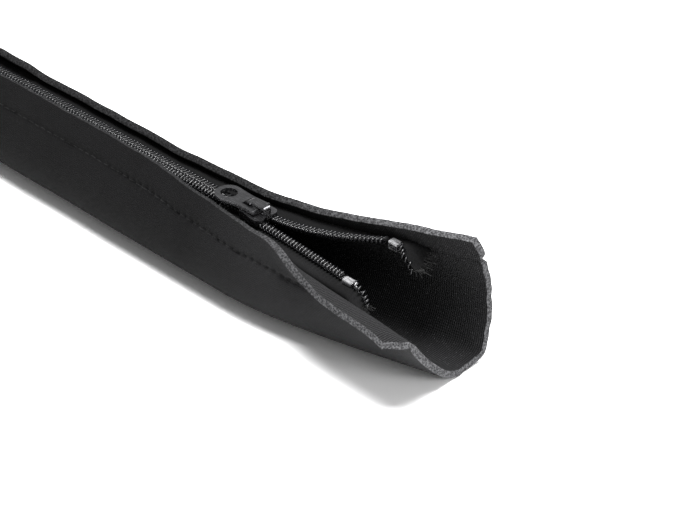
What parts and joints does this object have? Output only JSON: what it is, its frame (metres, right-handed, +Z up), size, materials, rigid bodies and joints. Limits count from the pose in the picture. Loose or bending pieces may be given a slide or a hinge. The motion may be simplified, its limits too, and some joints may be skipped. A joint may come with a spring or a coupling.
{
  "type": "zippered cable sleeve",
  "caption": "Black foam-backed knit cable sleeve with a coil zip along its top, partly unzipped at the flared end, with a metal slider and pull tab.",
  "frame": {"origin": "under the middle of the whole object, on the table", "axes": "+X along the sleeve to its open mouth, +Y across to the far lip, +Z up; the zip runs along the top"},
  "size_m": [0.5, 0.0476, 0.0499],
  "materials": {
    "knit": "matte",
    "tape": "matte",
    "coil": "gloss",
    "nickel": "satin",
    "black_metal": "gloss"
  },
  "bodies": {
    "sleeve": {"sleeve": "knit", "zip_tape_near": "tape", "zip_tape_far": "tape", "zip_coil_near": "coil", "zip_coil_far": "coil", "top_stop_near": "nickel", "top_stop_far": "nickel", "bottom_stop": "nickel"},
    "slider": {"slider_body": "black_metal"},
    "tab": {"pull_tab": "black_metal"}
  },
  "joints": [
    {"name": "slider_slide", "type": "slide", "parent": "sleeve", "child": "slider", "axis": [1, 0, 0], "range_m": [-0.4, 0], "deforming": ["zip_coil_near", "zip_coil_far"]},
    {"name": "tab_hinge", "type": "hinge", "parent": "slider", "child": "tab", "pos_m": [0.1733, -0.00607, 0.03665], "axis": [0, 1, 0], "range_deg": [0, 160]}
  ]
}
